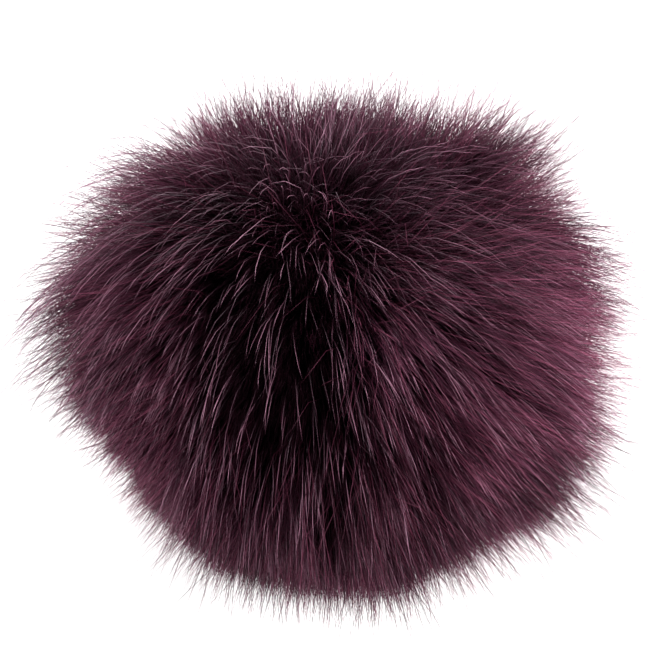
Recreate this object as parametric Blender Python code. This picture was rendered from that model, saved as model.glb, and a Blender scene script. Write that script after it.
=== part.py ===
"""Long-pile pom pom: a stuffed ball with its coat fused to it as three-sided locks.

Units are metres, with +Z up.  The pom pom stands on the floor at the origin, on the small
flat spot that its own weight presses into its underside.  Its crown leans a little towards
+Y.  The locks leave the crown upright, comb down and outwards over the flanks, and lie level
and short where the floor holds them.  The coat is trimmed to an oval outline that is fuller
towards +X +Y.
"""

import math
import random

import bmesh
import bpy
import numpy as np
from mathutils import Euler, Matrix, Vector

# Stuffed ball under the coat
BALL_RADIUS = 0.040
BALL_HALF_HEIGHT = 0.037
BALL_UNEVENNESS = 0.05       # as a part of the ball's own radius
FACE_ROUNDS = 3              # rounds of icosphere faces, one face for each lock
FACE_TURN = Euler((math.radians(24), math.radians(11), 0))    # keeps its poles off the crown
SEAT_HEIGHT = 0.0045         # what lies lower is pressed flat onto the floor
LOWEST_ROOT = 0.0066         # faces whose middle is lower carry no lock

# Crown that the coat is combed away from
CROWN_LEAN = 22.0            # degrees that it leans from upright, at the top of the ball
CROWN_BEARING = 90.0         # degrees, the way that it leans
UPRIGHT_BELOW = 0.020        # the lean fades out down to this height

# Coat, from the crown down the flank.  Fall is the angle that a lock is turned away from
# the crown's own direction, in degrees.
COAT_COLUMNS = ("from_crown", "fall_at_root", "fall_at_tip", "length")
COAT = (
    (0, 0, 5, 0.0190),
    (20, 27, 60, 0.0235),
    (45, 54, 100, 0.0285),
    (70, 80, 124, 0.0280),
    (90, 100, 134, 0.0250),
    (110, 112, 130, 0.0190),
    (130, 127, 110, 0.0125),
    (150, 134, 92, 0.0110),
)

# Coat round the compass, seen from above: 0 is +X and 90 is +Y.  The outline is a factor on
# the coat's radius, and lift takes away from the fall, in degrees.  Stroke is how strongly
# the tips are stroked sideways, towards a bearing.
COMPASS_COLUMNS = ("bearing", "outline", "lift", "stroke", "stroke_to")
COMPASS = (
    (0, 0.98, 8, 0.65, 320),
    (12, 1.08, 12, 0.60, 320),
    (24, 1.05, 20, 0.40, 320),
    (38, 1.27, 36, 0.10, 320),
    (53, 1.16, 28, 0.00, 310),
    (71, 1.09, 20, 0.00, 300),
    (90, 1.06, 14, 0.00, 290),
    (120, 1.09, 12, 0.05, 280),
    (150, 1.06, 8, 0.25, 280),
    (180, 1.06, 4, 0.45, 280),
    (192, 0.96, 2, 0.50, 280),
    (205, 0.88, 0, 0.50, 280),
    (218, 0.84, 0, 0.50, 280),
    (240, 0.96, 0, 0.50, 280),
    (270, 0.98, 0, 0.45, 285),
    (285, 1.03, 2, 0.45, 295),
    (300, 0.99, 6, 0.50, 312),
    (322, 1.05, 10, 0.60, 325),
    (336, 1.12, 10, 0.65, 325),
    (348, 1.10, 9, 0.65, 322),
    (360, 0.98, 8, 0.65, 320),
)
STROKE_FALL = 0.40           # how far a stroke goes down for each length that it goes along

# Outline that the coat is trimmed to, an oval of this size where the compass says 1
COAT_RADIUS = 0.0605
COAT_HALF_HEIGHT = 0.0480
COAT_CENTRE_HEIGHT = 0.0455
TRIM = (0.70, 1.20)          # the least and most that a lock's length is changed by it

# One lock, from its root to its tip
ROOT_GAP = 0.0006            # bare ball left between a lock and the edge of its face
LOCK_STEPS = (0.30, 0.65, 1.0)        # where its rings lie along its length
LOCK_WIDTHS = (0.90, 0.68, 0.13)      # each ring's width, as a part of the lock's own room
LENGTH_SPREAD = 0.08
FALL_SPREAD = 6.0
TURN_SPREAD = 6.0
SEED = 12

# Finish
FUR_COLOUR = (0.060, 0.026, 0.043, 1.0)
FUR_ROUGHNESS = 0.88
EDGE_ANGLE = math.radians(50)


def along_coat(name, from_crown):
    """A column of COAT read at an angle from the crown."""
    columns = dict(zip(COAT_COLUMNS, zip(*COAT)))
    return float(np.interp(from_crown, columns["from_crown"], columns[name]))


def round_compass(name, bearing):
    """A column of COMPASS read at a bearing."""
    columns = dict(zip(COMPASS_COLUMNS, zip(*COMPASS)))
    return float(np.interp(bearing % 360, columns["bearing"], columns[name]))


def crown_over(root):
    """The crown's own direction, for a root of this height."""
    share = (root.z - UPRIGHT_BELOW) / (2 * BALL_HALF_HEIGHT - UPRIGHT_BELOW)
    share = min(max(share, 0), 1)
    lean = math.radians(CROWN_LEAN) * share * share * (3 - 2 * share)
    leaning = Euler((0, lean, math.radians(CROWN_BEARING)))
    return leaning.to_matrix() @ Vector((0, 0, 1))


class Root:
    """A point on the ball, and how the coat leaves it."""

    def __init__(self, point):
        self.point = point
        up = point.z / BALL_HALF_HEIGHT - 1
        out = Vector((point.x / BALL_RADIUS, point.y / BALL_RADIUS, up)).normalized()
        self.crown = crown_over(point)
        self.down = (out - self.crown * out.dot(self.crown)).normalized()
        self.bearing = math.degrees(math.atan2(self.down.y, self.down.x))
        self.from_crown = math.degrees(out.angle(self.crown))

    def heading(self, step, fall_change=0, turn=0):
        """The way a lock runs at a step of its length."""
        fall = along_coat("fall_at_root", self.from_crown)
        fall += (along_coat("fall_at_tip", self.from_crown) - fall) * step
        turn *= math.sin(math.radians(fall))
        fall -= round_compass("lift", self.bearing) * math.sin(math.radians(self.from_crown))
        fall = math.radians(fall + fall_change)
        aside = Matrix.Rotation(math.radians(turn), 3, self.crown) @ self.down
        way = self.crown * math.cos(fall) + aside * math.sin(fall)
        to = math.radians(round_compass("stroke_to", self.bearing))
        stroke = Vector((math.cos(to), math.sin(to), -STROKE_FALL))
        return (way + stroke * round_compass("stroke", self.bearing) * step).normalized()

    def length(self):
        """The length of a lock here, trimmed to the coat's outline."""
        length = along_coat("length", self.from_crown)
        reach = self.point.copy()
        for start, end in lock_stretches():
            reach += length * (end - start) * self.heading((start + end) / 2)
        inner = self.from_middle(self.point)
        trim = (1 - inner) / max(self.from_middle(reach) - inner, 0.001)
        return length * min(max(trim, TRIM[0]), TRIM[1])

    def from_middle(self, point):
        """How far out a point lies, where 1 is the coat's outline."""
        radius = COAT_RADIUS * round_compass("outline", self.bearing)
        height = (point.z - COAT_CENTRE_HEIGHT) / COAT_HALF_HEIGHT
        return Vector((point.x / radius, point.y / radius, height)).length


def lock_stretches():
    """Where each stretch of a lock starts and ends along its length."""
    return zip((0, *LOCK_STEPS), LOCK_STEPS)


def stuffed_ball():
    """The uneven ball with its flat spot on the floor, one triangle for each lock."""
    ball = bmesh.new()
    turned = FACE_TURN.to_matrix().to_4x4()
    bmesh.ops.create_icosphere(ball, subdivisions=FACE_ROUNDS, radius=1, matrix=turned)
    for vert in ball.verts:
        shift = Vector([random.uniform(-1, 1) for _ in range(3)]) * BALL_UNEVENNESS
        out = (vert.co + shift).normalized()
        height = BALL_HALF_HEIGHT * (1 + out.z)
        if height < SEAT_HEIGHT:
            height = 0
        vert.co = Vector((out.x * BALL_RADIUS, out.y * BALL_RADIUS, height))
    return ball


def draw_out_lock(ball, face):
    """Inset one face of the ball and draw it out into a curved lock."""
    bmesh.ops.inset_individual(ball, faces=[face], thickness=ROOT_GAP, use_even_offset=True)
    roots = [Root(vert.co.copy()) for vert in face.verts]
    length = Root(face.calc_center_median()).length()
    length *= 1 + random.uniform(-LENGTH_SPREAD, LENGTH_SPREAD)
    fall_change = random.uniform(-FALL_SPREAD, FALL_SPREAD)
    turn = random.uniform(-TURN_SPREAD, TURN_SPREAD)

    corners = [root.point.copy() for root in roots]
    for (start, end), width in zip(lock_stretches(), LOCK_WIDTHS):
        for corner, root in zip(corners, roots):
            corner += length * (end - start) * root.heading((start + end) / 2, fall_change, turn)
        centre = sum(corners, Vector()) / len(corners)
        face = bmesh.ops.extrude_discrete_faces(ball, faces=[face])["faces"][0]
        for vert, corner in zip(face.verts, corners):
            vert.co = centre + (corner - centre) * width


def centre_on_floor(ball):
    """Move the ball sideways until its outline is centred over the origin."""
    across = [vert.co.x for vert in ball.verts]
    back = [vert.co.y for vert in ball.verts]
    middle = Vector((min(across) + max(across), min(back) + max(back), 0)) / 2
    bmesh.ops.translate(ball, vec=-middle, verts=ball.verts)


def fur_material():
    """Deep plum pile."""
    material = bpy.data.materials.new("plum_pile")
    material.use_nodes = True
    shader = material.node_tree.nodes["Principled BSDF"]
    shader.inputs["Base Color"].default_value = FUR_COLOUR
    shader.inputs["Roughness"].default_value = FUR_ROUGHNESS
    shader.inputs["Metallic"].default_value = 0.0
    return material


def fur_ball():
    """The whole pom pom: one solid, its locks apart but for their roots."""
    ball = stuffed_ball()
    lock_faces = [face for face in ball.faces if face.calc_center_median().z > LOWEST_ROOT]
    for face in lock_faces:
        draw_out_lock(ball, face)
    centre_on_floor(ball)
    bmesh.ops.recalc_face_normals(ball, faces=ball.faces)
    mesh = bpy.data.meshes.new("fur_ball")
    ball.to_mesh(mesh)
    ball.free()
    mesh.shade_smooth()
    mesh.set_sharp_from_angle(angle=EDGE_ANGLE)
    mesh.materials.append(fur_material())
    bpy.context.scene.collection.objects.link(bpy.data.objects.new("fur_ball", mesh))


for old in list(bpy.data.objects):
    bpy.data.objects.remove(old, do_unlink=True)
random.seed(SEED)
fur_ball()
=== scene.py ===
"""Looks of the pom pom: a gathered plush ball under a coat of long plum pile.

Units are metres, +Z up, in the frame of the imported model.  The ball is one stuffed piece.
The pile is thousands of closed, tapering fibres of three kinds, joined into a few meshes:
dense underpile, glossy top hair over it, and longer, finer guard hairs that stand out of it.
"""

import math
from collections import namedtuple

import bmesh
import bpy
import numpy as np
from mathutils import Matrix, Vector


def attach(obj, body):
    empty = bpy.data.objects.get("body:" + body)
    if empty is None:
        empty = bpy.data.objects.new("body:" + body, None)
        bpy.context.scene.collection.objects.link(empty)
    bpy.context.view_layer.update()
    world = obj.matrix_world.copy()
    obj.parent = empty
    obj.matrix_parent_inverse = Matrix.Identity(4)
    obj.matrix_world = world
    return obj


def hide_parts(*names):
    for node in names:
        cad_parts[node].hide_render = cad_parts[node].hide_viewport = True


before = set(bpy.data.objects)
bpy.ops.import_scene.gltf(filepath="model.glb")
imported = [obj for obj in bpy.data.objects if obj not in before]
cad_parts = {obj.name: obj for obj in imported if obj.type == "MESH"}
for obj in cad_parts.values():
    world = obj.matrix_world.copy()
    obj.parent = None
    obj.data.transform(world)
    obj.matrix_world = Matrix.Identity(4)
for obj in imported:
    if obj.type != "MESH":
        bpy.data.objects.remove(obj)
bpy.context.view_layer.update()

# Stuffed ball under the pile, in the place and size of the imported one
BALL_RADIUS = 0.040
BALL_HALF_HEIGHT = 0.037
BALL_FACE_ROUNDS = 4
PLUSH_DEPTH = 0.0012         # the backing's own short nap, outside the ball's size
SEAT_HEIGHT = 0.0045         # no pile is rooted below this height
SEAT_FLAT = 0.0027           # what is lower is pressed flat onto the floor

# The pile is combed away from a crown, which leans back from upright.
CROWN_LEAN = 22.0            # degrees
CROWN_BEARING = 90.0         # degrees, the way it leans
UPRIGHT_BELOW = 0.020        # roots lower than this comb from straight up

# The comb from the crown down: how far the pile is turned from the crown's own direction
# at the root and at the tip, in degrees, and how long it is
COMB_COLUMNS = ("from_crown", "fall_at_root", "fall_at_tip", "length")
COMB = (
    (0, 0, 20, 0.0190),
    (10, 14, 50, 0.0210),
    (22, 28, 88, 0.0245),
    (45, 54, 126, 0.0285),
    (70, 80, 146, 0.0290),
    (90, 100, 154, 0.0270),
    (110, 114, 146, 0.0225),
    (130, 122, 122, 0.0180),
    (150, 118, 96, 0.0150),
)
BEND = 1.5                   # above 1, a fibre bends most towards its tip

# Round the compass, seen from above: 0 is +X and 90 is +Y.  The outline is a factor on the
# coat's radius and lift raises the pile, in degrees.  The coat is also stroked, by this much
# and towards this bearing, which runs on past 360 where it turns that way from row to row.
COMPASS_COLUMNS = ("bearing", "outline", "lift", "stroke", "stroke_to")
COMPASS = (
    (0, 1.02, 8, 0.70, 312),
    (12, 1.16, 14, 0.65, 312),
    (24, 0.83, 20, 0.50, 318),
    (30, 1.13, 25, 0.35, 325),
    (38, 1.35, 32, 0.15, 335),
    (53, 1.055, 30, 0.15, 385),
    (71, 1.10, 24, 0.30, 400),
    (90, 1.045, 16, 0.30, 395),
    (108, 1.14, 16, 0.15, 380),
    (122, 1.08, 14, 0.15, 290),
    (135, 1.0, 12, 0.30, 280),
    (150, 1.13, 10, 0.45, 270),
    (158, 1.09, 8, 0.50, 270),
    (165, 0.92, 7, 0.55, 270),
    (171, 0.87, 6, 0.60, 270),
    (180, 1.135, 4, 0.65, 272),
    (192, 0.93, 2, 0.60, 278),
    (205, 0.90, 0, 0.55, 280),
    (218, 0.73, 0, 0.50, 280),
    (240, 0.97, 0, 0.50, 280),
    (255, 0.935, 0, 0.48, 282),
    (270, 0.97, 0, 0.45, 285),
    (285, 1.02, 2, 0.45, 295),
    (300, 0.96, 6, 0.50, 312),
    (322, 1.085, 10, 0.60, 320),
    (336, 1.12, 9, 0.65, 318),
    (348, 0.935, 8, 0.68, 315),
    (354, 1.0, 8, 0.70, 313),
    (360, 1.02, 8, 0.70, 312),
)
STROKE_FALL = 0.40           # how far the stroke goes down for each length it goes along
STROKE_AT_TIP = 2.0          # how many times the stroke is at the tip; at the root it is 0
STROKE_FADE = (65.0, 100.0)  # degrees from the crown over which the stroke grows weaker
STROKE_LOW = 0.35            # the share of it that is left below

# Patches of the coat, each an oval.  Its middle is from_top degrees forward of upright and
# aside degrees towards +X, it drifts aside by slant for each degree forward, and it fades
# out over the edge, as shares of its reach forward and aside.
Patch = namedtuple("Patch", "from_top aside slant reach edge")
HOLLOW = Patch(28.0, -13.0, 0.15, (38.0, 26.0), (0.55, 1.12))    # parted, and darkened by painted shade
WHORL = Patch(-23.0, 4.0, 0.0, (31.0, 34.0), (0.6, 1.15))        # curling every way
FLUFF = Patch(-69.0, 5.0, 0.0, (32.0, 48.0), (0.55, 1.08))       # standing up loose
WHORL_HEART = 0.5            # the share of the hollow's shortness and painted shade that it has too
WHORL_LOOSE = 0.6            # how much less the whorl's fibres gather
WHORL_SWAY = 3.0             # how many times as much they waver
FLUFF_LOOSE = 0.85
FLUFF_SWAY = 4.0
FLUFF_EVEN = 0.85            # how much less the fluff's fibres differ in tone
FLUFF_UP = 0.6               # how much less they bend over
LOW_FLANK = (80.0, 110.0)    # degrees from the crown over which the low flank begins

# Painted light and shade by place: the coat's tone is lowered where it lies in shade and raised
# where light falls on it
PAINTED_LIGHT_EDGE = (0.3, 1.1)
PAINTED_LIGHT_PATCHES = (              # painted light and shade: where the coat is painted darker or paler, and by how much
    (Patch(58.0, -10.0, 0.3, (62.0, 32.0), PAINTED_LIGHT_EDGE), -0.05),
    (Patch(60.0, 15.0, 0.0, (36.0, 17.0), PAINTED_LIGHT_EDGE), -0.30),
    (Patch(-4.0, 14.0, 0.0, (26.0, 17.0), PAINTED_LIGHT_EDGE), -0.30),
    (Patch(-14.0, 40.0, 0.0, (28.0, 26.0), PAINTED_LIGHT_EDGE), -0.24),
    (Patch(-6.0, -26.0, 0.0, (22.0, 22.0), PAINTED_LIGHT_EDGE), -0.14),
    (Patch(74.0, 41.0, 0.0, (38.0, 34.0), PAINTED_LIGHT_EDGE), -0.26),
    (FLUFF, 0.42),
    (Patch(-27.0, 3.0, 0.0, (24.0, 30.0), PAINTED_LIGHT_EDGE), -0.26),
    (Patch(86.0, -6.0, 0.0, (26.0, 44.0), PAINTED_LIGHT_EDGE), -0.08),
    (Patch(22.0, 13.0, 0.1, (30.0, 14.0), PAINTED_LIGHT_EDGE), 0.20),
)

# The outline that the comb's own fibres are trimmed to
COAT_RADIUS = 0.0605
COAT_HALF_HEIGHT = 0.0480
COAT_CENTRE_HEIGHT = 0.0455
TRIM = (0.45, 1.45)          # the least and most that a fibre's length is changed by it
LEAST_REACH = 0.02           # of the outline, below which a fibre isn't trimmed
MOST_REACH = 1.28            # of the outline, past which no stray stands
ROOM = (0.0782, 0.0758, 0.1036)       # nor past this, along X, Y or Z

# Pile
TUFTS = 320                  # broad tufts that the whole coat falls into
TUFT_PULL = (0.0, 0.30)      # share of the way to its tuft that a fibre's tip is drawn
WISPS = 3000                 # fine wisps within them
WISP_PULL = (0.1, 0.6)
PULL_FROM = 0.1              # how far along a fibre it begins to be drawn
STRAY_PULL = 0.1             # how much of that pull a stray feels
ROOT_JITTER = 2.0            # as a part of the roots' own spacing
CENTRE_JITTER = 1.2          # the same for the middles of the tufts and wisps
WAVES = (2.0, 6.0)           # radians that a fibre's waver turns through, least and most
WIDTHS = (0.75, 1.25)        # of fibres, as a factor on their kind's own

# How far fibres differ from the comb, as standard deviations: length as a factor, the
# others in degrees.  Fall tilts the whole fibre and droop its tip; turn swings it
# sideways and curl its tip.
HABITS = ("length", "fall", "droop", "turn", "curl")
TUFT_HABIT = (0.04, 5, 6, 8, 4)
WISP_HABIT = (0.05, 4, 6, 6, 6)
FIBRE_HABIT = (0.12, 7, 11, 8, 13)
STRAY_HABIT = (0.10, 14, 16, 16, 24)
STRAY_SHARE = 0.06
WHORL_HABIT = (1.0, 3.0, 2.6, 8.0, 3.0)     # how many times as unruly the whorl is
FLUFF_HABIT = (1.5, 1.6, 1.6, 2.6, 1.8)     # the same for the fluff
SHORT_SHARE = 0.15           # of fibres that are broken or still growing
SHORT_LENGTHS = (0.55, 0.95)

# How far fibres differ in tone, where 0 is the deepest colour and 1 the palest
TONE_SPREAD = 0.18
TUFT_TONE = 0.15             # for whole tufts, and again for whole wisps
BRIGHT_SHARE = 0.3           # of fibres that are brighter, each kind by its own measure

# Kinds of fibre.
#   count            roots over the whole ball, before any are left out
#   width, length    at the root, and as a factor on the comb's
#   give, raised     how far it gives to the comb, and to the compass's lift
#   loose, sway      how unruly it is, and how far it wavers
#   gather           how much it is drawn to its tuft and its wisp
#   short, dark      how much shorter it is in the hollow, and how much painted shade darkens it there
#   no_hollow, no_whorl, no_fluff, no_low_flank, no_elsewhere
#                    the share of it left out there; elsewhere is all but the fluff
#   rings, taper     where its rings lie along it, and the width of each
#   tone, bright     its tone, and how much brighter its brighter fibres are
#   gloss, tint      how strongly it shines, and in what colour
#   stops            its colours from root to tip, near black at the root as painted shade of the pile's depth
Kind = namedtuple("Kind", "name count width length give raised loose sway gather short dark "
                  "no_hollow no_whorl no_fluff no_low_flank no_elsewhere "
                  "rings taper tone bright gloss tint stops")
UNDERPILE = Kind(
    name="underpile", count=117000, width=0.00018, length=0.93,
    give=0.6, raised=1.0, loose=0.9, sway=0.0002, gather=0.75, short=0.45, dark=0.60,
    no_hollow=0.0, no_whorl=0.0, no_fluff=0.0, no_low_flank=0.0, no_elsewhere=0.38,
    rings=(0.0, 0.5), taper=(1.0, 0.9),
    tone=0.40, bright=0.25, gloss=0.08, tint=(1.0, 0.5, 0.75),
    stops=((0.0, (0.002, 0.0003, 0.001)), (0.52, (0.018, 0.003, 0.008)),
           (0.8, (0.118, 0.036, 0.067)), (1.0, (0.262, 0.094, 0.158))))
TOP_HAIR = Kind(
    name="top_hair", count=10500, width=0.00021, length=1.03,
    give=0.85, raised=1.0, loose=0.85, sway=0.0003, gather=1.0, short=0.15, dark=0.25,
    no_hollow=0.66, no_whorl=0.0, no_fluff=0.9, no_low_flank=0.9, no_elsewhere=0.0,
    rings=(0.0, 0.2, 0.42, 0.64, 0.84), taper=(1.0, 1.0, 0.9, 0.72, 0.45),
    tone=0.40, bright=0.62, gloss=0.62, tint=(1.0, 0.66, 0.84),
    stops=((0.0, (0.003, 0.0008, 0.0015)), (0.5, (0.050, 0.015, 0.028)),
           (1.0, (0.60, 0.30, 0.42))))
GUARD_HAIR = Kind(
    name="guard_hair", count=15500, width=0.00013, length=1.44,
    give=0.4, raised=2.2, loose=1.35, sway=0.0003, gather=0.2, short=0.0, dark=0.20,
    no_hollow=1.0, no_whorl=1.0, no_fluff=0.3, no_low_flank=0.0, no_elsewhere=0.0,
    rings=(0.0, 0.5), taper=(1.0, 0.95),
    tone=0.55, bright=0.35, gloss=0.15, tint=(1.0, 0.6, 0.78),
    # the tips' pale red is partly the fibre's own colour and partly a painted glow of light
    # through the rim
    stops=((0.0, (0.003, 0.0006, 0.0012)), (0.6, (0.062, 0.011, 0.026)),
           (1.0, (0.51, 0.145, 0.25))))
MOST_FACES = 195000          # in one piece of pile
SIDES = 3                    # of a fibre
RING_START = (1e-6, 0, 0.001)         # added to a fibre's root to point its first corner
LOWEST_LAYER = 0.0004        # how near the floor the lowest fibres lie
LAYER_DEPTH = 0.0030         # fibres that lie on the floor are spread over this height
LAYER_MIX = (0.37, 0.61)     # picks each one's height there from its own turn and fall
POINTS_AT_ONCE = 2000        # when the nearest centres are looked for
LEAST_LENGTH = 1e-12         # of a vector that is scaled to length 1
SEED = 7

# Fibre map: across it runs each fibre's tone, its dye with painted light and shade, and up it
# the way from root to tip.
MAP_MARGIN = 0.02
MAP_SPAN = 0.94
MAP_WIDTH = 0.012            # that one fibre takes up of it
MAP_CORNERS = (0.0, 1.0, 0.5)         # where a ring's corners lie across that width
MAP_POINT = 0.5              # and where the fibre's point lies

# Finishes.  A fibre's dye, with painted light and shade, multiplies its kind's colours, and is
# chosen by its tone.
PILE_ROUGHNESS = 0.38
DYE_AND_PAINTED_LIGHT_STOPS = ((0.0, (0.09, 0.05, 0.07)), (0.4, (0.42, 0.30, 0.35)), (1.0, (1.0, 1.0, 1.0)))
# the backing's own dark colour, deepened to near black as painted shade
BACKING_SHADE_STOPS = ((0.25, (0.002, 0.0007, 0.001)), (0.75, (0.009, 0.003, 0.005)))
BACKING_ROUGHNESS = 0.95
BACKING_GRAIN = 900.0        # noise cells to the metre
BACKING_GRAIN_DETAIL = 3.0
BACKING_BUMP = 0.8
BACKING_BUMP_DEPTH = 0.0006

# Camera: above the front, with the crown turned away
VIEW_RISE = 51.0             # degrees above level
LENS = 135.0                 # millimetres, as is the sensor's width
SENSOR = 36.0
NEAREST_SHOWN = 0.01
IMAGE_SIDE = 665             # pixels
COAT_WIDTH = 0.120           # of the dense coat, without its loose ends
COAT_WIDTH_PIXELS = 555      # and how wide it is in the image
COAT_MIDDLE = Vector((0, 0, 0.045))
COAT_MIDDLE_PIXEL = (327, 348)        # from the image's left and top

# Studio
FLOOR_SIZE = 20.0            # half of its side
FLOOR_WHITE = (0.80, 0.80, 0.80, 1)
FLOOR_ROUGHNESS = 0.9
FLOOR_GLOSS = 0.1
FLOOR_GLOW = 0.5             # keeps the paper white under the pom pom
LAMPS = (                    # name, place, side of its square, watts
    ("light_left", (-0.70, 0.05, 0.35), 0.4, 9),
    ("light_right", (0.70, -0.15, 0.35), 0.4, 14),
    ("light_back", (0.0, 0.80, 0.45), 0.5, 6),
)
DARK_SIDE_RISE = 60          # degrees: the studio is dark above the front, at this rise
DARK_SIDE_EDGE = (0.25, 0.75)         # cosines of the angles over which it darkens
STUDIO_LIGHT = 0.75
DARK_SIDE_LIGHT = 0.06
WHITE = (1, 1, 1, 1)


def column(table, names, name):
    """One named column of a table."""
    place = names.index(name)
    return np.array([row[place] for row in table], float)


def comb(name, from_crown):
    """A column of COMB, read at angles from the crown."""
    return np.interp(from_crown, column(COMB, COMB_COLUMNS, "from_crown"),
                     column(COMB, COMB_COLUMNS, name))


def compass(name, bearing):
    """A column of COMPASS, read at bearings in degrees."""
    return np.interp(bearing % 360, column(COMPASS, COMPASS_COLUMNS, "bearing"),
                     column(COMPASS, COMPASS_COLUMNS, name))


def unit(vectors):
    """The same vectors at length 1."""
    length = np.linalg.norm(vectors, axis=-1, keepdims=True)
    return vectors / np.maximum(length, LEAST_LENGTH)


def smooth_step(values, low, high):
    """0 below low, 1 above high, and smooth between."""
    share = np.clip((values - low) / (high - low), 0, 1)
    return share * share * (3 - 2 * share)


def even_directions(count, rng, jitter):
    """Unit directions spread evenly over a sphere, then moved a little at random."""
    step = np.arange(count) + 0.5
    height = 1 - 2 * step / count
    turn = step * math.pi * (3 - math.sqrt(5))        # a golden angle from one to the next
    across = np.sqrt(1 - height * height)
    spread = np.stack([across * np.cos(turn), across * np.sin(turn), height], 1)
    return unit(spread + rng.normal(0, jitter / math.sqrt(count), spread.shape))


def on_ball(directions):
    """The points of the stuffed ball that face along these directions."""
    points = directions * (BALL_RADIUS, BALL_RADIUS, BALL_HALF_HEIGHT)
    points[:, 2] += BALL_HALF_HEIGHT
    return points


def out_of_ball(points):
    """Unit directions from the stuffed ball's middle to these points, as if it were round."""
    half = (BALL_RADIUS, BALL_RADIUS, BALL_HALF_HEIGHT)
    return unit((points - (0, 0, BALL_HALF_HEIGHT)) / half)


def leaning(lean, bearing):
    """Unit directions that lean from upright by these angles, towards one bearing."""
    across = np.sin(lean)
    return np.stack([across * math.cos(bearing), across * math.sin(bearing), np.cos(lean)], 1)


def bearings(vectors):
    """Bearings of vectors seen from above, in degrees."""
    return np.degrees(np.arctan2(vectors[:, 1], vectors[:, 0]))


class Comb:
    """How the comb lays the pile at each of many roots."""

    def __init__(self, roots, raised=1.0):
        self.roots = roots
        lean = smooth_step(roots[:, 2], UPRIGHT_BELOW, 2 * BALL_HALF_HEIGHT)
        self.crown = leaning(np.radians(CROWN_LEAN) * lean, math.radians(CROWN_BEARING))
        out = out_of_ball(roots)
        along = np.clip((out * self.crown).sum(1), -1, 1)
        self.down = unit(out - along[:, None] * self.crown)
        self.side = np.cross(self.crown, self.down)
        self.from_crown = np.degrees(np.arccos(along))
        bearing = bearings(self.down)

        self.hollow = within(HOLLOW, out)
        self.whorl = within(WHORL, out)
        self.fluff = within(FLUFF, out)
        self.heart = np.maximum(self.hollow, self.whorl * WHORL_HEART)
        self.gather = 1 - np.maximum(WHORL_LOOSE * self.whorl, FLUFF_LOOSE * self.fluff)
        self.even = 1 - FLUFF_EVEN * self.fluff
        # painted light and shade over the coat, by place
        self.dye_and_painted_light = sum(within(patch, out) * change for patch, change in PAINTED_LIGHT_PATCHES)

        lift = raised * compass("lift", bearing) * np.sin(np.radians(self.from_crown))
        self.at_root = comb("fall_at_root", self.from_crown) - lift
        bend = comb("fall_at_tip", self.from_crown) - comb("fall_at_root", self.from_crown)
        self.bend = bend * (1 - FLUFF_UP * self.fluff)
        stroke = compass("stroke", bearing)
        stroke *= 1 - (1 - STROKE_LOW) * smooth_step(self.from_crown, *STROKE_FADE)
        to = np.radians(compass("stroke_to", bearing))
        stroke_way = np.stack([np.cos(to), np.sin(to), np.full(len(to), -STROKE_FALL)], 1)
        self.stroke = stroke[:, None] * stroke_way

    def ways(self, steps, give, fall=0, droop=0, turn=0, curl=0):
        """Which way each fibre runs in each of its steps, if it gives this much to the comb."""
        found = []
        for middle in (steps[:-1] + steps[1:]) / 2:
            share = middle ** BEND
            angle = np.radians(self.at_root + fall + (self.bend * give + droop) * share)[:, None]
            swing = np.radians(turn + curl * middle) * np.ones(len(self.roots))
            aside = self.down * np.cos(swing)[:, None] + self.side * np.sin(swing)[:, None]
            stroke = self.stroke * STROKE_AT_TIP * give * middle
            found.append(unit(np.cos(angle) * self.crown + np.sin(angle) * aside + stroke))
        return found

    def lengths(self, steps, give):
        """The length of pile at each root, trimmed to the coat's outline."""
        length = comb("length", self.from_crown)
        run = sum(way * step for way, step in zip(self.ways(steps, give), np.diff(steps)))
        inner = from_middle(self.roots)
        gain = from_middle(self.roots + length[:, None] * run) - inner
        trim = np.where(gain > LEAST_REACH, (1 - inner) / np.maximum(gain, LEAST_REACH), TRIM[1])
        return length * np.clip(trim, *TRIM)

    def paths(self, steps, give, length_factor, habit):
        """Where each fibre runs: one point for each step of its length."""
        length, fall, droop, turn, curl = habit.T
        length = self.lengths(steps, give) * length_factor * (1 + length)
        mix = turn * LAYER_MIX[0] + fall * LAYER_MIX[1]
        layer = LOWEST_LAYER + LAYER_DEPTH * (mix % 1.0)
        points = [self.roots]
        for way, run in zip(self.ways(steps, give, fall, droop, turn, curl), np.diff(steps)):
            points.append(laid_step(points[-1], way, length * run, layer))
        return np.stack(points, 1)


def from_middle(points):
    """How far out points lie, where 1 is the trimmed outline of the coat."""
    radius = COAT_RADIUS * compass("outline", bearings(points))
    size = np.stack([radius, radius, np.full(len(points), COAT_HALF_HEIGHT)], 1)
    return np.linalg.norm((points - (0, 0, COAT_CENTRE_HEIGHT)) / size, axis=1)


def crowding(points):
    """How near points come to where no pile may stand, which is at 1."""
    return np.maximum(from_middle(points) / MOST_REACH, np.abs(points / ROOM).max(1))


def within(patch, out):
    """How far into a patch directions out of the ball lie: 0 outside it, 1 in its heart."""
    forward = np.degrees(np.arctan2(-out[:, 1], out[:, 2])) - patch.from_top
    aside = np.degrees(np.arcsin(np.clip(out[:, 0], -1, 1))) - patch.aside
    aside -= patch.slant * forward
    reach = np.hypot(forward / patch.reach[0], aside / patch.reach[1])
    return 1 - smooth_step(reach, *patch.edge)


def laid_step(points, way, run, layer):
    """One step along a fibre, which turns level where it would go under its floor layer."""
    ends = points + way * run[:, None]
    low = ends[:, 2] < layer
    height = np.where(low, np.minimum(layer, points[:, 2]), ends[:, 2])
    rise = height - points[:, 2]
    level = unit(way[:, :2])
    reach = np.sqrt(np.maximum(run * run - rise * rise, 0))
    ends[low, :2] = points[low, :2] + level[low] * reach[low, None]
    ends[:, 2] = height
    return ends


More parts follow.
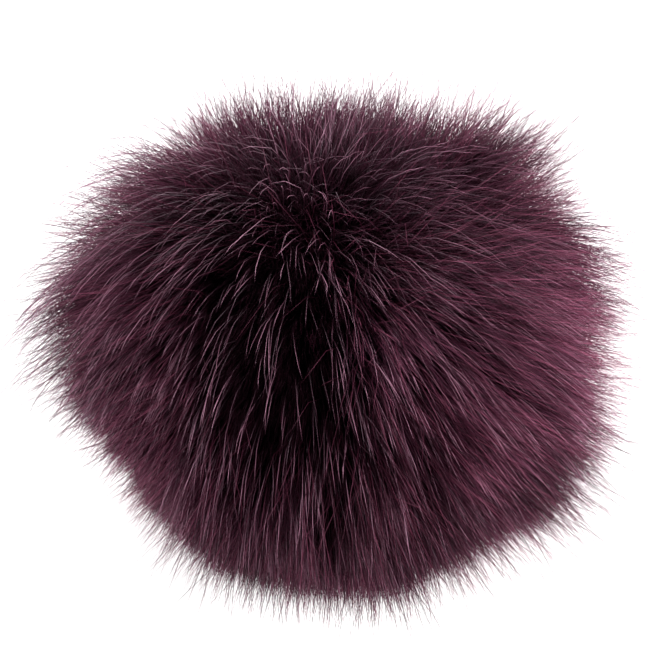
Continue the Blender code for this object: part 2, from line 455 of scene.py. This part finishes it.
def nearest(points, centres):
    """For each point the number of the nearest centre."""
    found = np.empty(len(points), int)
    squares = (centres * centres).sum(1)
    for start in range(0, len(points), POINTS_AT_ONCE):
        part = points[start:start + POINTS_AT_ONCE]
        gaps = (part * part).sum(1)[:, None] - 2 * part @ centres.T + squares
        found[start:start + POINTS_AT_ONCE] = gaps.argmin(1)
    return found


class Gathering:
    """Centres that fibres gather to: each has a root, habits of its own and a pull."""

    def __init__(self, count, rng, habit, pull):
        self.comb = Comb(on_ball(even_directions(count, rng, CENTRE_JITTER)))
        self.habit = rng.normal(size=(count, len(HABITS))) * habit
        self.pull = rng.uniform(*pull, count)
        self.tone = rng.normal(0, 1, count)

    def drawn_together(self, fibres, member, steps, kind, hold):
        """The fibres, each drawn towards the path of its own centre."""
        factor = kind.length * (1 - kind.short * self.comb.heart)
        guide = self.comb.paths(steps, kind.give, factor, self.habit)[member]
        pull = (self.pull[member] * hold)[:, None] * smooth_step(steps, PULL_FROM, 1.0)
        return fibres + (guide - fibres) * pull[:, :, None]


def rooted(kind, rng):
    """The comb at one kind's roots, without those that are left out."""
    roots = on_ball(even_directions(kind.count, rng, ROOT_JITTER))
    lay = Comb(roots)
    left_out = np.max([
        kind.no_hollow * lay.hollow,
        kind.no_whorl * lay.whorl,
        kind.no_fluff * lay.fluff,
        kind.no_low_flank * smooth_step(lay.from_crown, *LOW_FLANK),
        kind.no_elsewhere * (1 - lay.fluff)], axis=0)
    kept = (roots[:, 2] > SEAT_HEIGHT) & (rng.random(kind.count) > left_out)
    return Comb(roots[kept], kind.raised)


def habits(kind, rng, lay, joined, stray):
    """How far each fibre departs from the comb, by itself and with its tuft and wisp."""
    found = rng.normal(size=(len(stray), len(HABITS)))
    found *= np.where(stray[:, None], STRAY_HABIT, FIBRE_HABIT)
    found *= kind.loose
    found *= 1 + (np.array(WHORL_HABIT) - 1) * lay.whorl[:, None]
    found *= 1 + (np.array(FLUFF_HABIT) - 1) * lay.fluff[:, None]
    for gathering, member in joined:
        found += gathering.habit[member]
    return found


def tones(kind, rng, lay, joined):
    """The tone of each fibre, from 0 to 1: its dye, with painted light and shade by place."""
    count = len(lay.roots)
    own = rng.normal(0, TONE_SPREAD, count)
    own += kind.bright * (rng.random(count) < BRIGHT_SHARE)
    # the patches' painted light and shade, and the painted shade of the hollow, shift each
    # fibre's tone
    found = kind.tone + own * lay.even + (lay.dye_and_painted_light - kind.dark * lay.heart)
    for gathering, member in joined:
        found += TUFT_TONE * gathering.tone[member] * lay.even
    return np.clip(found, 0, 1)


def pile(kind, rng, gatherings):
    """The fibres of one kind: their paths, widths and tones."""
    lay = rooted(kind, rng)
    count = len(lay.roots)
    steps = np.append(kind.rings, 1.0)
    joined = [(gathering, nearest(lay.roots, gathering.comb.roots)) for gathering in gatherings]

    stray = rng.random(count) < STRAY_SHARE
    habit = habits(kind, rng, lay, joined, stray)
    short = rng.random(count) < SHORT_SHARE
    factor = kind.length * np.where(short, rng.uniform(*SHORT_LENGTHS, count), 1)
    factor *= 1 - kind.short * lay.heart
    fibres = lay.paths(steps, kind.give, factor, habit)

    hold = np.where(stray, STRAY_PULL, 1) * kind.gather * lay.gather
    for gathering, member in joined:
        fibres = gathering.drawn_together(fibres, member, steps, kind, hold)
    fibres = drawn_back(fibres)
    sway = kind.sway * (1 + (WHORL_SWAY - 1) * lay.whorl + (FLUFF_SWAY - 1) * lay.fluff)
    fibres += wavering(count, steps, rng) * sway[:, None, None]
    fibres = np.clip(fibres, (-ROOM[0], -ROOM[1], LOWEST_LAYER), ROOM)

    tone = tones(kind, rng, lay, joined)
    return fibres, kind.width * rng.uniform(*WIDTHS, count), tone


def drawn_back(fibres):
    """The fibres, those that reach where no pile may stand drawn back towards their roots."""
    inner, outer = (crowding(fibres[:, place]) for place in (0, -1))
    fits = np.clip((1 - inner) / np.maximum(outer - inner, LEAST_REACH), 0, 1)
    return fibres[:, :1] + (fibres - fibres[:, :1]) * fits[:, None, None]


def wavering(count, steps, rng):
    """A slow wave along each fibre, of about 1 in size and nothing at the root."""
    turning = rng.uniform(0, 2 * math.pi, (count, 1))
    phase = turning + steps * rng.uniform(*WAVES, (count, 1))
    wave = np.sin(phase) - np.sin(phase[:, :1])
    return rng.normal(size=(count, 1, 3)) * wave[:, :, None]


def fibre_faces(rings):
    """The triangles of one fibre: its closed root, its sides and its point."""
    here = np.arange(SIDES)
    after = (here + 1) % SIDES
    point = np.full(SIDES, rings * SIDES)
    faces = [np.array([[2, 1, 0]])]
    for low in range(0, (rings - 1) * SIDES, SIDES):
        high = low + SIDES
        faces.append(np.stack([low + here, low + after, high + after], 1))
        faces.append(np.stack([low + here, high + after, high + here], 1))
    low = (rings - 1) * SIDES
    faces.append(np.stack([low + here, low + after, point], 1))
    return np.concatenate(faces)


def fibre_mesh(name, kind, paths, widths, tone):
    """Fibres as closed tubes of three sides, which run out to a point."""
    way = unit(np.gradient(paths, axis=1))[:, :-1]
    side = unit(np.cross(way, unit(paths[:, :1] * (1, 1, 0) + RING_START)))
    other = np.cross(way, side)
    turn = np.arange(SIDES)[:, None] * 2 * math.pi / SIDES
    ring = side[:, :, None] * np.cos(turn) + other[:, :, None] * np.sin(turn)
    ring *= (widths[:, None] * kind.taper / 2)[:, :, None, None]
    ring = (paths[:, :-1, None] + ring).reshape(len(paths), -1, 3)
    verts = np.concatenate([ring, paths[:, -1:]], 1)
    first = np.arange(len(paths)) * verts.shape[1]
    faces = (fibre_faces(len(kind.rings)) + first[:, None, None]).reshape(-1, 3)

    along = np.append(np.repeat(kind.rings, SIDES), 1.0)
    across = np.append(np.tile(MAP_CORNERS, len(kind.rings)), MAP_POINT) * MAP_WIDTH
    up = MAP_MARGIN + MAP_SPAN * along + across * (along == 0)
    right = MAP_MARGIN + MAP_SPAN * tone[:, None] + across
    uv = np.stack([right, np.broadcast_to(up, right.shape)], 2).reshape(-1, 2)

    mesh = bpy.data.meshes.new(name)
    mesh.vertices.add(verts.size // 3)
    mesh.vertices.foreach_set("co", verts.astype(np.float32).ravel())
    mesh.loops.add(faces.size)
    mesh.loops.foreach_set("vertex_index", faces.astype(np.int32).ravel())
    mesh.polygons.add(len(faces))
    mesh.polygons.foreach_set("loop_start", np.arange(0, faces.size, 3, dtype=np.int32))
    mesh.update(calc_edges=True)
    layer = mesh.uv_layers.new(name="OFBake", do_init=False)
    layer.uv.foreach_set("vector", uv[faces.ravel()].astype(np.float32).ravel())
    return mesh


def grown(kind, rng, gatherings):
    """One kind of fibre over the whole ball, as pieces of at most MOST_FACES faces."""
    paths, widths, tone = pile(kind, rng, gatherings)
    material = pile_finish(kind)
    pieces = math.ceil(len(paths) * len(fibre_faces(len(kind.rings))) / MOST_FACES)
    for number, part in enumerate(np.array_split(rng.permutation(len(paths)), pieces)):
        name = f"{kind.name}_{number + 1}"
        put(fibre_mesh(name, kind, paths[part], widths[part], tone[part]), name, material)


class Finish:
    """Nodes of a material or a world, added as Python expressions and by one method."""

    def __init__(self, owner, shader):
        owner.use_nodes = True
        self.tree = owner.node_tree
        self.shader = self.tree.nodes[shader]

    def node(self, kind, output=0, settings=None, stops=(), inputs=None):
        """Add a node: its settings and stops first, then what goes into its sockets."""
        added = self.tree.nodes.new(kind)
        for name, value in (settings or {}).items():
            setattr(added, name, value)
        if stops:
            elements = added.color_ramp.elements
            for element, (place, colour) in zip(elements, (stops[0], stops[-1])):
                element.position = place
                element.color = (*colour, 1)
            for place, colour in stops[1:-1]:
                elements.new(place).color = (*colour, 1)
        for name, value in (inputs or {}).items():
            self.plug(added.inputs[name], value)
        return Wire(self, added.outputs[output])

    def plug(self, socket, value):
        """Link a wire into a socket, or give the socket a plain value."""
        if isinstance(value, Wire):
            self.tree.links.new(value.socket, socket)
        else:
            socket.default_value = value

    def shade(self, **values):
        """Fill the shader's own sockets, named with _ for a space."""
        for name, value in values.items():
            self.plug(self.shader.inputs[name.replace("_", " ")], value)


class Wire:
    """An output socket that Python's operators work on."""

    def __init__(self, finish, socket):
        self.finish = finish
        self.socket = socket

    def output(self, name):
        """Another output of the same node."""
        return Wire(self.finish, self.socket.node.outputs[name])

    def maths(self, operation, first, second):
        """A Math node on two wires or numbers."""
        return self.finish.node("ShaderNodeMath", settings={"operation": operation},
                                inputs={0: first, 1: second})

    def __sub__(self, other):
        return self.maths("SUBTRACT", self, other)

    def __rsub__(self, other):
        return self.maths("SUBTRACT", other, self)

    def __mul__(self, other):
        return self.maths("MULTIPLY", self, other)

    def __rmul__(self, other):
        return self.maths("MULTIPLY", other, self)


def pile_finish(kind):
    """Pile: near black at the root as painted shade deep in the pile, paler to the tip; uneven
    from fibre to fibre, and painted lighter or darker by place.
    """
    material = bpy.data.materials.new(kind.name)
    finish = Finish(material, "Principled BSDF")
    place = finish.node("ShaderNodeUVMap", settings={"uv_map": "OFBake"})
    tone = finish.node("ShaderNodeSeparateXYZ", inputs={0: place})
    along = tone.output("Y")
    shade = finish.node("ShaderNodeValToRGB", stops=kind.stops, inputs={"Fac": along})
    # the tone's colours: the dye with painted light and shade
    dye_and_painted_light = finish.node("ShaderNodeValToRGB", stops=DYE_AND_PAINTED_LIGHT_STOPS, inputs={"Fac": tone})
    colour = finish.node("ShaderNodeVectorMath", settings={"operation": "MULTIPLY"},
                         inputs={0: shade, 1: dye_and_painted_light})
    finish.shade(Base_Color=colour, Roughness=PILE_ROUGHNESS, Specular_IOR_Level=kind.gloss,
                 Specular_Tint=(*kind.tint, 1))
    return material


def plush_finish():
    """The backing that shows only in the gaps: its dark colour deepened to near black as painted
    shade deep in the pile.
    """
    material = bpy.data.materials.new("backing_plush")
    finish = Finish(material, "Principled BSDF")
    place = finish.node("ShaderNodeTexCoord", output="Object")
    grain = finish.node("ShaderNodeTexNoise", inputs={
        "Vector": place, "Scale": BACKING_GRAIN, "Detail": BACKING_GRAIN_DETAIL})
    shade = finish.node("ShaderNodeValToRGB", stops=BACKING_SHADE_STOPS, inputs={"Fac": grain})
    bump = finish.node("ShaderNodeBump", inputs={
        "Strength": BACKING_BUMP, "Distance": BACKING_BUMP_DEPTH, "Height": grain})
    finish.shade(Base_Color=shade, Roughness=BACKING_ROUGHNESS, Normal=bump)
    return material


def floor_finish():
    """Matt white paper."""
    material = bpy.data.materials.new("floor_white")
    finish = Finish(material, "Principled BSDF")
    finish.shade(Base_Color=FLOOR_WHITE, Roughness=FLOOR_ROUGHNESS,
                 Specular_IOR_Level=FLOOR_GLOSS, Emission_Color=WHITE,
                 Emission_Strength=FLOOR_GLOW)
    return material


def placed(mesh, name, material):
    """A smooth object of a mesh, at the origin."""
    mesh.shade_smooth()
    mesh.materials.append(material)
    piece = bpy.data.objects.new(name, mesh)
    bpy.context.scene.collection.objects.link(piece)
    return piece


def put(mesh, name, material):
    """A piece of the pom pom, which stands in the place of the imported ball."""
    piece = placed(mesh, name, material)
    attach(piece, "root")
    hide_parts("fur_ball")
    return piece


def plush_ball():
    """The stuffed ball of backing, closed, with its flat spot on the floor."""
    ball = bmesh.new()
    bmesh.ops.create_icosphere(ball, subdivisions=BALL_FACE_ROUNDS, radius=1)
    radius = BALL_RADIUS + PLUSH_DEPTH
    bmesh.ops.scale(ball, vec=(radius, radius, BALL_HALF_HEIGHT + PLUSH_DEPTH), verts=ball.verts)
    bmesh.ops.translate(ball, vec=(0, 0, BALL_HALF_HEIGHT), verts=ball.verts)
    for vert in ball.verts:
        if vert.co.z < SEAT_FLAT:
            vert.co.z = 0
    mesh = bpy.data.meshes.new("plush_ball")
    ball.to_mesh(mesh)
    ball.free()
    put(mesh, "plush_ball", plush_finish())


def floor():
    """A plain pale floor."""
    plane = bmesh.new()
    bmesh.ops.create_grid(plane, x_segments=1, y_segments=1, size=FLOOR_SIZE)
    mesh = bpy.data.meshes.new("floor")
    plane.to_mesh(mesh)
    plane.free()
    placed(mesh, "floor", floor_finish())


def aimed(place, target):
    """A matrix at a place, with -Z towards the target."""
    turn = (target - place).to_track_quat("-Z", "Y")
    return Matrix.LocRotScale(place, turn, None)


def lights():
    """Square soft lights, and a pale studio that is dark above the front."""
    for name, place, size, power in LAMPS:
        lamp = bpy.data.lights.new(name, "AREA")
        lamp.size = size
        lamp.energy = power
        made = bpy.data.objects.new(name, lamp)
        made.matrix_world = aimed(Vector(place), COAT_MIDDLE)
        bpy.context.scene.collection.objects.link(made)

    world = bpy.data.worlds.new("studio")
    studio = Finish(world, "Background")
    rise = math.radians(DARK_SIDE_RISE)
    way = studio.node("ShaderNodeTexCoord", output="Generated")
    facing = studio.node("ShaderNodeVectorMath", output="Value",
                         settings={"operation": "DOT_PRODUCT"},
                         inputs={0: way, 1: (0, -math.cos(rise), math.sin(rise))})
    dark = studio.node("ShaderNodeMapRange", settings={"interpolation_type": "SMOOTHSTEP"},
                       inputs={"Value": facing, "From Min": DARK_SIDE_EDGE[0],
                               "From Max": DARK_SIDE_EDGE[1]})
    studio.shade(Color=WHITE, Strength=STUDIO_LIGHT - dark * (STUDIO_LIGHT - DARK_SIDE_LIGHT))
    bpy.context.scene.world = world


def camera():
    """The camera, placed so that the coat's middle and width fall where they should."""
    scale = COAT_WIDTH / COAT_WIDTH_PIXELS
    distance = IMAGE_SIDE * scale * LENS / SENSOR
    rise = math.radians(VIEW_RISE)
    back = Vector((0, -math.cos(rise), math.sin(rise)))
    up = Vector((0, math.sin(rise), math.cos(rise)))
    right = Vector((1, 0, 0))
    aside = (IMAGE_SIDE / 2 - COAT_MIDDLE_PIXEL[0]) * scale
    above = (COAT_MIDDLE_PIXEL[1] - IMAGE_SIDE / 2) * scale
    aim = COAT_MIDDLE + right * aside + up * above
    lens = bpy.data.cameras.new("camera")
    lens.lens = LENS
    lens.sensor_width = SENSOR
    lens.clip_start = NEAREST_SHOWN
    made = bpy.data.objects.new("camera", lens)
    made.matrix_world = aimed(aim + back * distance, aim)
    bpy.context.scene.collection.objects.link(made)
    bpy.context.scene.camera = made


camera()
random_numbers = np.random.default_rng(SEED)
tufts = Gathering(TUFTS, random_numbers, TUFT_HABIT, TUFT_PULL)
wisps = Gathering(WISPS, random_numbers, WISP_HABIT, WISP_PULL)
plush_ball()
for kind_of_fibre in (UNDERPILE, TOP_HAIR, GUARD_HAIR):
    grown(kind_of_fibre, random_numbers, (tufts, wisps))
floor()
lights()
bpy.context.scene.view_settings.view_transform = "Standard"
